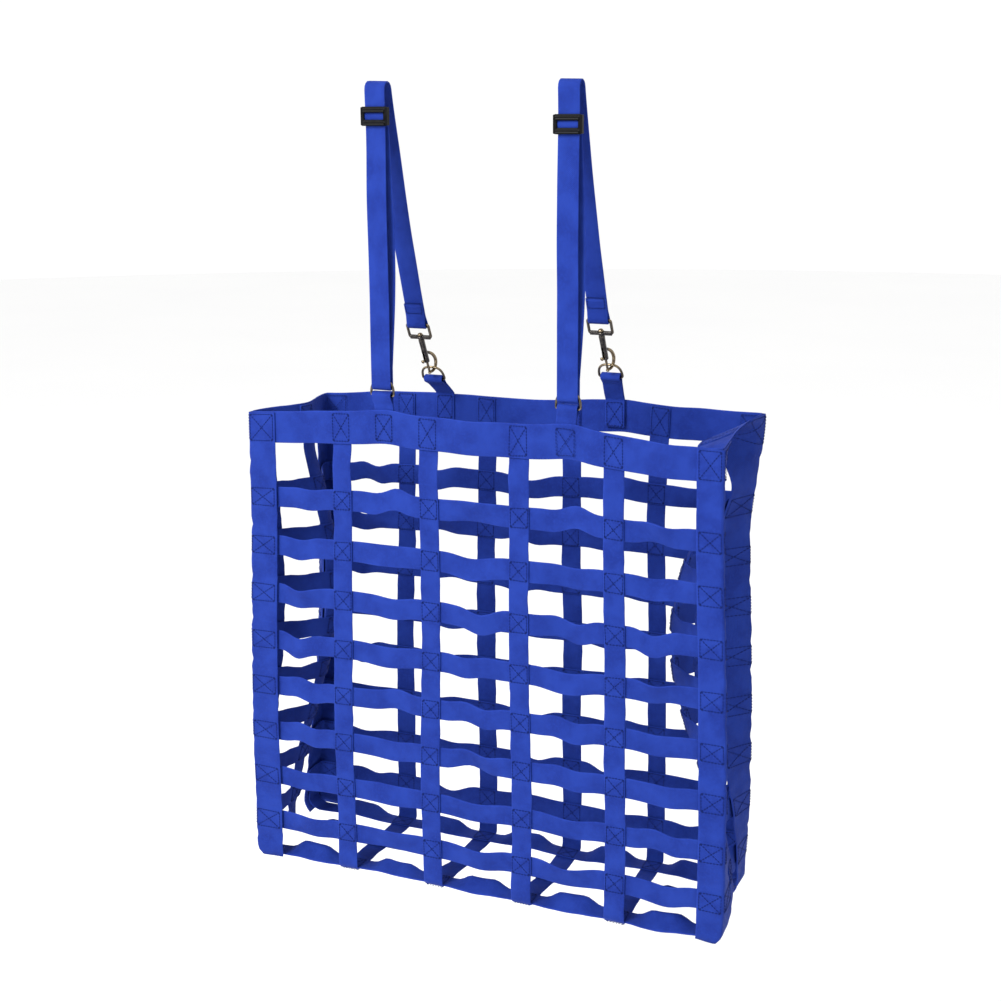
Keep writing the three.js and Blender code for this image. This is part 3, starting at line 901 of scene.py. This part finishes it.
def add_hanger(side, x):
    points, leg, across = hanger_line(side)
    wander = noise.noise

    def slack(point, along, share):
        free = smooth((share - 0.12) / 0.1) * smooth((0.9 - share) / 0.1)
        place = vec(share * 9, x * 40, 0.3)
        return 0.0012 * free * wander(place), 0, 0.09 * free * wander(place + vec(4, 0, 0))

    add_webbing(f"hanger_webbing_{side}", f"hanger_strap_{side}",
                ribbon(resample(points, HANGER_STEP), 0, x, slack))

    low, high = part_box(f"hanger_lap_{side}")
    bottom, top = low.z - 0.004, high.z
    line = [vec(LEG, bottom), vec(LEG, top)]

    def bow(point, along, share):
        free = sin(pi * share)
        return 0.0045 * free + 0.0008 * sin(7 * share), -0.004 * free**2, 0.06 * sin(5 * share)

    lap = add_webbing(f"hanger_lap_webbing_{side}", f"hanger_lap_{side}",
                      ribbon(resample(line, HANGER_STEP), 0, x, bow))
    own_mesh(lap)

    lines = []
    reach = X_AXIS * (WEB / 2 - 0.002)
    for face in (-1, 1):
        normal = raised(across, 0, 0) * face
        low, high = (raised(leg(END_LOOP + distance, END_LIFT * face), 0, x)
                     for distance in (0.0125, 0.026))
        lines += [(low - reach, low + reach, normal), (high - reach, high + reach, normal),
                  (low - reach, high - reach, normal), (low + reach, high + reach, normal)]
    add_threads(f"hanger_stitching_{side}", lines)


def ring_bar(side, where):
    top = joint_place(f"{where}_ring_swing_{side}")
    lean = RING_LEAN[where]
    return vec(top.y + RING_HEIGHT * sin(lean), top.z - RING_HEIGHT * cos(lean))


def add_tab(side, where, x):
    """A loop of webbing round the D-ring's bar, its ends sewn inside the draped rim."""
    plane = 0 if where == "front" else 2 * MIDDLE
    bar = ring_bar(side, where)
    rim = drape(vec(x, plane, RIM_TOP))
    shift = rim.x - x
    layer = THICK / 2 + 0.0001
    radius = TAB_INNER + THICK / 2
    edge = vec(rim.y, rim.z + 0.0005)
    foot = vec(rim.y, rim.z - RIM_WIDTH + 0.005)
    up = (bar - edge).normalized()
    side_on = vec(up.y, -up.x)
    neck = bar - up * (radius + 0.005)
    start = degrees(atan2(-side_on.y, -side_on.x))
    points = [foot - vec(layer, 0), edge - vec(layer, 0), neck - side_on * layer * 1.2,
              *arc(bar, radius, start - 8, start - 172, 14), neck + side_on * layer * 1.2,
              edge + vec(layer, 0), foot + vec(layer, 0)]

    def sideways(point, along, share):
        return x + shift * (1 - smooth((point.y - rim.z) / (bar.y - rim.z)))

    grid = ribbon(resample(points, 0.002), 0, sideways, taut, WEB - 0.0006)
    add_webbing(f"{where}_tab_webbing_{side}", f"{where}_tab_{side}", grid)
    inward = 1 if where == "front" else -1
    middle = vec(rim.x, rim.y + inward * (2 * layer + HAIR), rim.z - RIM_WIDTH / 2 + 0.002)
    box = (middle, X_AXIS, UP, WEB / 2 - 0.0025, RIM_WIDTH / 2 - 0.005,
           vec(0, inward, 0))
    add_stitching(f"{where}_tab_stitching_{side}", [box], shape=None)


# ---------- metal and plastic


def circle(sides):
    angles = [2 * pi * k / sides for k in range(sides)]
    return [(cos(a), sin(a)) for a in angles]


def tube_data(points, radius, sides=12, closed=False, flatten=1.0):
    """A round bar along a line of points. radius may be a function of the share of the line."""
    count = len(points)
    along = tangents(points, closed)
    across = along[0].orthogonal().normalized()
    vertices, faces = [], []
    for i in range(count):
        across = (across - along[i] * across.dot(along[i])).normalized()
        other = along[i].cross(across)
        size = radius(i / (count - 1)) if callable(radius) else radius
        vertices += [points[i] + (across * c + other * (s * flatten)) * size
                     for c, s in circle(sides)]
    for i in range(count if closed else count - 1):
        faces += ring_faces(i * sides, (i + 1) % count * sides, sides)
    if not closed:
        faces.append(tuple(reversed(range(sides))))
        faces.append(tuple((count - 1) * sides + k for k in range(sides)))
    return vertices, faces


def lathe_data(profile, sides=40):
    """A solid turned about z from (radius, height) pairs that run from the bottom to the top."""
    vertices = [vec(0, 0, profile[0][1])]
    for radius, height in profile:
        vertices += [vec(radius * c, radius * s, height) for c, s in circle(sides)]
    vertices.append(vec(0, 0, profile[-1][1]))
    faces = [(0, 1 + (k + 1) % sides, 1 + k) for k in range(sides)]
    for i in range(len(profile) - 1):
        faces += ring_faces(1 + i * sides, 1 + (i + 1) * sides, sides)
    last = len(vertices) - 1
    top = last - sides
    faces += [(last, top + k, top + (k + 1) % sides) for k in range(sides)]
    return vertices, faces


def block_data(size, middle=(0, 0, 0)):
    corners = [vec(x, y, z) for z in (-1, 1) for y in (-1, 1) for x in (-1, 1)]
    vertices = [Vector(middle) + vec(c.x * size[0], c.y * size[1], c.z * size[2]) / 2
                for c in corners]
    faces = [(0, 2, 3, 1), (4, 5, 7, 6), (0, 1, 5, 4), (2, 6, 7, 3), (0, 4, 6, 2), (1, 3, 7, 5)]
    return vertices, faces


def turned(data, matrix):
    return [matrix @ v for v in data[0]], data[1]


def cast(name, parts, cutters, voxel, rounding):
    """One cast or moulded body from overlapping parts, less its cutters, with softened edges."""
    body = new_object(name, plain_mesh(name, *joined(parts)))
    extra = []

    def modify(kind, **settings):
        modifier = body.modifiers.new(kind, kind)
        for key, value in settings.items():
            setattr(modifier, key, value)

    modify("REMESH", mode="VOXEL", voxel_size=voxel)
    for i, cutter in enumerate(cutters):
        tool = new_object(f"{name}_cutter_{i}", plain_mesh("cutter", *cutter))
        extra.append(tool)
        modify("BOOLEAN", operation="DIFFERENCE", solver="EXACT", object=tool)
    if cutters:
        modify("REMESH", mode="VOXEL", voxel_size=voxel)
    modify("SMOOTH", factor=0.5, iterations=rounding)
    graph = bpy.context.evaluated_depsgraph_get()
    mesh = bpy.data.meshes.new_from_object(body.evaluated_get(graph))
    for thing in [body, *extra]:
        bpy.data.objects.remove(thing)
    return mesh


def rub(mesh, wear):
    """Marks how much the plating is rubbed, from each point's own place."""
    attribute = mesh.attributes.new("wear", "FLOAT", "POINT")
    attribute.data.foreach_set("value", [clamp(wear(v.co)) for v in mesh.vertices])
    return mesh


def in_front_plane(points):
    return [vec(x, 0, z) for x, z in points]


def add_d_ring(side, where):
    arch = [vec(RING_HALF_WIDTH * copysign(abs(c) ** RING_SQUARENESS, c), 0,
                RING_HEIGHT * (abs(s) ** RING_SQUARENESS - 1)) for c, s in circle(80)[:41]]
    knee = 0.0022
    arch[0].z += knee
    arch[-1].z += knee
    low, corner = -RING_HEIGHT, RING_HALF_WIDTH - knee * 0.3
    flat = RING_HALF_WIDTH - knee
    bar = in_front_plane([(-corner, low + knee * 0.3), (-flat, low), (0, low), (flat, low),
                          (corner, low + knee * 0.3)])
    line = [p for p in arch if p.z > low + knee * 0.9 or p is arch[0] or p is arch[-1]] + bar
    line = resample(line + [line[0]], 0.0011)[:-1]
    mesh = plain_mesh(f"{where}_d_ring_{side}", *tube_data(line, RING_WIRE, 14, True))
    rub(mesh, lambda p: 0.25 + 0.8 * smooth((p.z + 0.006) / 0.006)
        + 0.4 * smooth((-0.015 - p.z) / 0.003))
    top = joint_place(f"{where}_ring_swing_{side}")
    mesh.transform(Matrix.Translation(top) @ Matrix.Rotation(RING_LEAN[where], 4, "X"))
    add_piece(f"{where}_d_ring_wire_{side}", mesh, PLATE, f"{where}_ring_{side}",
              [f"{where}_d_ring_{side}"])


EYE_WIDTH, EYE_HEIGHT, EYE_BAR, EYE_BASE, EYE_DEPTH = 0.032, 0.022, 0.0035, 0.0045, 0.004
EYE_TOP = EYE_BAR / 2
EYE_FOOT = EYE_TOP - EYE_HEIGHT
STEM, BORE = 0.0016, 0.0019
BORE_TOP, TUBE_END = -0.024, -0.055
BOLT_TOP, BOLT_TIP, BOLT_RADIUS, BOLT_TRAVEL = -0.049, -0.0689, 0.0015, 0.012
KNOB_HEIGHT = -0.051
HOOK_TURN = 20


def snap_eye_mesh(side):
    half, low, curve = EYE_WIDTH / 2 - EYE_BAR / 2, EYE_FOOT + EYE_BASE / 2, 0.0022
    line = []
    for sx, z, begin in ((1, -curve, 0), (-1, -curve, 90), (-1, low + curve, 180),
                         (1, low + curve, 270)):
        pivot = vec(sx * (half - curve), z)
        line += in_front_plane(arc(pivot, curve, begin, begin + 90, 6))
    frame_bar = tube_data(resample(line + [line[0]], 0.0008)[:-1], EYE_BAR / 2, 16, True)
    base = block_data((EYE_WIDTH - 0.005, EYE_DEPTH * 0.85, EYE_BASE), (0, 0, low))
    boss = lathe_data([(0.0032, EYE_FOOT), (0.0043, EYE_FOOT + 0.0012),
                       (0.0043, EYE_FOOT + EYE_BASE - 0.0008), (0.0034, EYE_FOOT + EYE_BASE)])
    hole = lathe_data([(STEM + GAP, EYE_FOOT - 0.002), (STEM + GAP, EYE_FOOT + EYE_BASE + 0.002)])
    mesh = cast(f"snap_eye_{side}", [frame_bar, base, boss], [hole], 0.00028, 3)
    return rub(mesh, lambda p: 0.9 * smooth((p.z + 0.001) / 0.002)
               + 0.3 * smooth((abs(p.x) - 0.013) / 0.002))


def snap_body_mesh(side):
    seat = EYE_FOOT + EYE_BASE + GAP
    collar = EYE_FOOT - GAP
    turned_part = lathe_data([
        (0.0028, TUBE_END), (0.0035, TUBE_END + 0.0008), (0.0035, -0.0445), (0.0031, -0.0432),
        (0.0035, -0.042), (0.0036, -0.030), (0.0038, collar - 0.0022), (0.0031, collar),
        (STEM, collar), (STEM, seat), (0.0031, seat), (0.0033, seat + 0.0008),
        (0.0027, seat + 0.002), (0.0014, seat + 0.0029), (0.0004, seat + 0.0031)])
    hook_points = in_front_plane([
        (0.0016, -0.0405), (0.0046, -0.0434), (0.0084, -0.0466), (0.0120, -0.0514),
        (0.0140, -0.0578), (0.0138, -0.0624), (0.0122, -0.0668), (0.0096, -0.0700),
        (0.0065, -0.0714), (0.0032, -0.0713), (0.0005, -0.0703)])
    hook_line = resample(smooth_line(hook_points, 2), 0.0007)
    hook = tube_data(hook_line, lambda t: 0.0018 + 0.0004 * sin(pi * t) - 0.0001 * t, 16)
    nose = lathe_data([(0.0014, -0.0724), (0.0021, -0.0717), (0.0022, -0.0701), (0.0018, -0.0695)])
    bore = lathe_data([(BORE, TUBE_END - 0.002), (BORE, BORE_TOP)])
    path = lathe_data([(BORE + 0.0005, BOLT_TIP - GAP), (BORE + 0.0005, TUBE_END + 0.00001)])
    slot_low, slot_high = KNOB_HEIGHT - 0.0017, KNOB_HEIGHT + BOLT_TRAVEL + 0.0017
    slot = block_data((0.006, 0.0034, slot_high - slot_low),
                      (-0.00395, 0, (slot_low + slot_high) / 2))
    mesh = cast(f"snap_body_{side}", [turned_part, hook, nose], [bore, path, slot], 0.00028, 2)
    return rub(mesh, lambda p: smooth((p.x - 0.004) / 0.004) + 0.8 * smooth((p.z - seat) / 0.001)
               + smooth((-0.067 - p.z) / 0.002))


def smooth_line(points, rounds):
    """Corner cutting, which keeps both ends."""
    for _ in range(rounds):
        cut = [points[0]]
        for a, b in zip(points, points[1:]):
            cut += [a.lerp(b, 0.25), a.lerp(b, 0.75)]
        points = cut + [points[-1]]
    return points


def snap_bolt_mesh(side):
    pin = lathe_data([(0.0012, BOLT_TIP), (BOLT_RADIUS, BOLT_TIP + 0.0008),
                      (BOLT_RADIUS, BOLT_TOP - 0.0004), (0.0014, BOLT_TOP)])
    outwards = Matrix.Translation((0, 0, KNOB_HEIGHT)) @ Matrix.Rotation(-pi / 2, 4, "Y")
    stalk = turned(lathe_data([(0.0011, 0.0008), (0.0011, 0.0060)]), outwards)
    knob = turned(lathe_data([(0.0014, 0.0051), (0.0021, 0.0057), (0.0024, 0.0066),
                              (0.0020, 0.0073), (0.0007, 0.0076)]), outwards)
    mesh = cast(f"snap_bolt_{side}", [pin, stalk, knob], [], 0.00022, 2)
    return rub(mesh, lambda p: smooth((-p.x - 0.005) / 0.002) + 0.6)


def snap_spring_mesh(side):
    turns, radius, wire = 8, 0.0012, 0.0003
    low, high = BOLT_TOP + 0.0007, BORE_TOP - 0.0007
    coil = circle(18) * turns + [(1, 0)]
    line = [vec(radius * c, radius * s, low + (high - low) * i / (len(coil) - 1))
            for i, (c, s) in enumerate(coil)]
    mesh = plain_mesh(f"snap_spring_{side}", *tube_data(line, wire, 6))
    return rub(mesh, lambda p: 0), high - low


def add_snap(side):
    top = joint_place(f"snap_swing_{side}")
    axis = Vector(JOINTS[f"snap_swivel_{side}"]["axis"])
    lean = atan2(-axis.y, axis.z)
    place = Matrix.Translation(top) @ Matrix.Rotation(lean, 4, "X")
    hooked = place @ Matrix.Rotation(radians(90 - HOOK_TURN), 4, "Z")
    for part, mesh, where in (("eye", snap_eye_mesh(side), place),
                              ("body", snap_body_mesh(side), hooked),
                              ("bolt", snap_bolt_mesh(side), hooked)):
        mesh.transform(where)
        add_piece(f"snap_{part}_cast_{side}", mesh, PLATE, f"snap_{part}_{side}",
                  [f"snap_{part}_{side}"])
    mesh, length = snap_spring_mesh(side)
    mesh.transform(hooked)
    spring = add_piece(f"snap_spring_wire_{side}", mesh, SPRING, f"snap_body_{side}",
                       [f"snap_spring_{side}"])
    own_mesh(spring)


def add_tri_glide(side, x):
    """A moulded adjuster: two end bars in front of the strap and a middle bar behind it."""
    low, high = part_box(f"tri_glide_{side}")
    middle = (low + high) / 2
    width, height = high.x - low.x, high.z - low.z
    depth = high.y - low.y
    rail, bar = 0.0044, 0.0086
    end_y = low.y + 0.0017
    bar_y = LEG - THICK / 2 - 0.0022

    def roller(inset, y, z, radius, sides, flatten):
        ends = [vec(middle.x + sign * (width / 2 - inset), y, z) for sign in (-1, 1)]
        return tube_data(resample(ends, 0.002), radius, sides, flatten=flatten)

    parts = []
    for sign in (-1, 1):
        parts.append(block_data((rail, depth - 0.0002, height - 0.003),
                                (middle.x + sign * (width - rail) / 2, middle.y, middle.z)))
        end_z = middle.z + sign * (height - bar) / 2
        parts.append(roller(0.0028, end_y, end_z, bar / 2, 20, 0.42))
        parts.append(block_data((width - 0.0035, 0.003, bar * 0.8), (middle.x, end_y, end_z)))
    parts.append(roller(0.002, bar_y, middle.z, 0.0021, 16, 0.55))
    mesh = cast(f"tri_glide_{side}", parts, [], 0.0004, 9)
    add_piece(f"tri_glide_moulding_{side}", mesh, PLASTIC, f"tri_glide_{side}",
              [f"tri_glide_{side}"])

    crown = -LEG - THICK * 0.75
    rise = [(-LEG - 0.0002, 0.0080), (-LEG - 0.0003, 0.0056), (crown, 0.0034)]
    hump = smooth_line([vec(y, middle.z - away) for y, away in rise]
                       + [vec(crown - 0.0003, middle.z)]
                       + [vec(y, middle.z + away) for y, away in reversed(rise)], 2)
    over = 0.0031
    loop = [vec(LEG, middle.z - 0.012), vec(LEG - 0.0002, middle.z - 0.001),
            *arc(vec(bar_y, middle.z), over, 15, 165, 10),
            vec(bar_y - over + 0.0002, middle.z - 0.004)]
    mesh = to_mesh(f"glide_webbing_{side}", *(
        strap_data(ribbon(resample(line, 0.0015), 0, x, taut, width), WEB)
        for line, width in ((hump, WEB + 0.0004), (loop, WEB - 0.0004))))
    add_piece(f"tri_glide_webbing_{side}", mesh, BLUE, f"tri_glide_{side}")


# ---------- camera, lights, floor


def add_camera():
    azimuth, pitch, roll = (radians(a) for a in (23.69, 13.5, -0.30))
    data = bpy.data.cameras.new("camera")
    data.sensor_width = 36
    data.lens = 58.3
    camera = new_object("camera", data)
    camera.matrix_world = (Matrix.Translation((0.7621, -1.6606, -0.0323))
                           @ Matrix.Rotation(azimuth, 4, "Z")
                           @ Matrix.Rotation(pi / 2 - pitch, 4, "X")
                           @ Matrix.Rotation(roll, 4, "Z"))
    bpy.context.scene.camera = camera


def add_light(name, location, target, power, size):
    data = bpy.data.lights.new(name, "AREA")
    data.energy, data.size = power, size
    light = new_object(name, data)
    light.location = location
    direction = Vector(target) - Vector(location)
    light.rotation_euler = direction.to_track_quat("-Z", "Y").to_euler()


def add_studio():
    scene = bpy.context.scene
    scene.view_settings.view_transform = "Standard"
    world = bpy.data.worlds.new("studio")
    world.use_nodes = True
    background = world.node_tree.nodes["Background"]
    background.inputs[0].default_value = (1, 1, 1, 1)
    background.inputs[1].default_value = 1.02
    scene.world = world
    add_light("key", (-0.9, -2.6, 1.5), (0, 0, -0.6), 152, 1.4)
    add_light("fill", (-2.4, -1.2, 0.2), (0, 0, -0.7), 9, 1.8)
    size, sides, level = 14.0, 96, BOTTOM - 0.55
    rim = [(size * c, size * s, level) for c, s in circle(sides)]
    mesh = plain_mesh("floor", rim, [tuple(range(sides))])
    mesh.materials.append(floor_material())
    new_object("floor", mesh)


# ---------- build

add_camera()
add_studio()
add_bands()
for number, upright_x in enumerate(UPRIGHTS, 1):
    add_upright(number, upright_x)
add_cross_strap("side_webbing", "side_strap", MIDDLE, RIM_TOP - 0.002)
for end, outwards in (("front", -1), ("rear", 1)):
    add_cross_strap(f"bottom_webbing_{end}", f"bottom_strap_{end}",
                    centre(f"bottom_strap_{end}").y, BOTTOM + 0.028, outwards,
                    droop=0.0015 if end == "front" else 0.004)
for seed, (corner, sx, sy) in enumerate((("front_left", -1, -1), ("front_right", 1, -1),
                                         ("rear_left", -1, 1), ("rear_right", 1, 1))):
    add_corner_strap(f"corner_strap_{corner}", sx, sy, seed * 7.3)
add_bag_stitching()
for side, hanger_x in HANGERS.items():
    add_hanger(side, hanger_x)
    add_tri_glide(side, hanger_x)
    add_snap(side)
    for where in ("front", "rear"):
        add_tab(side, where, hanger_x)
        add_d_ring(side, where)
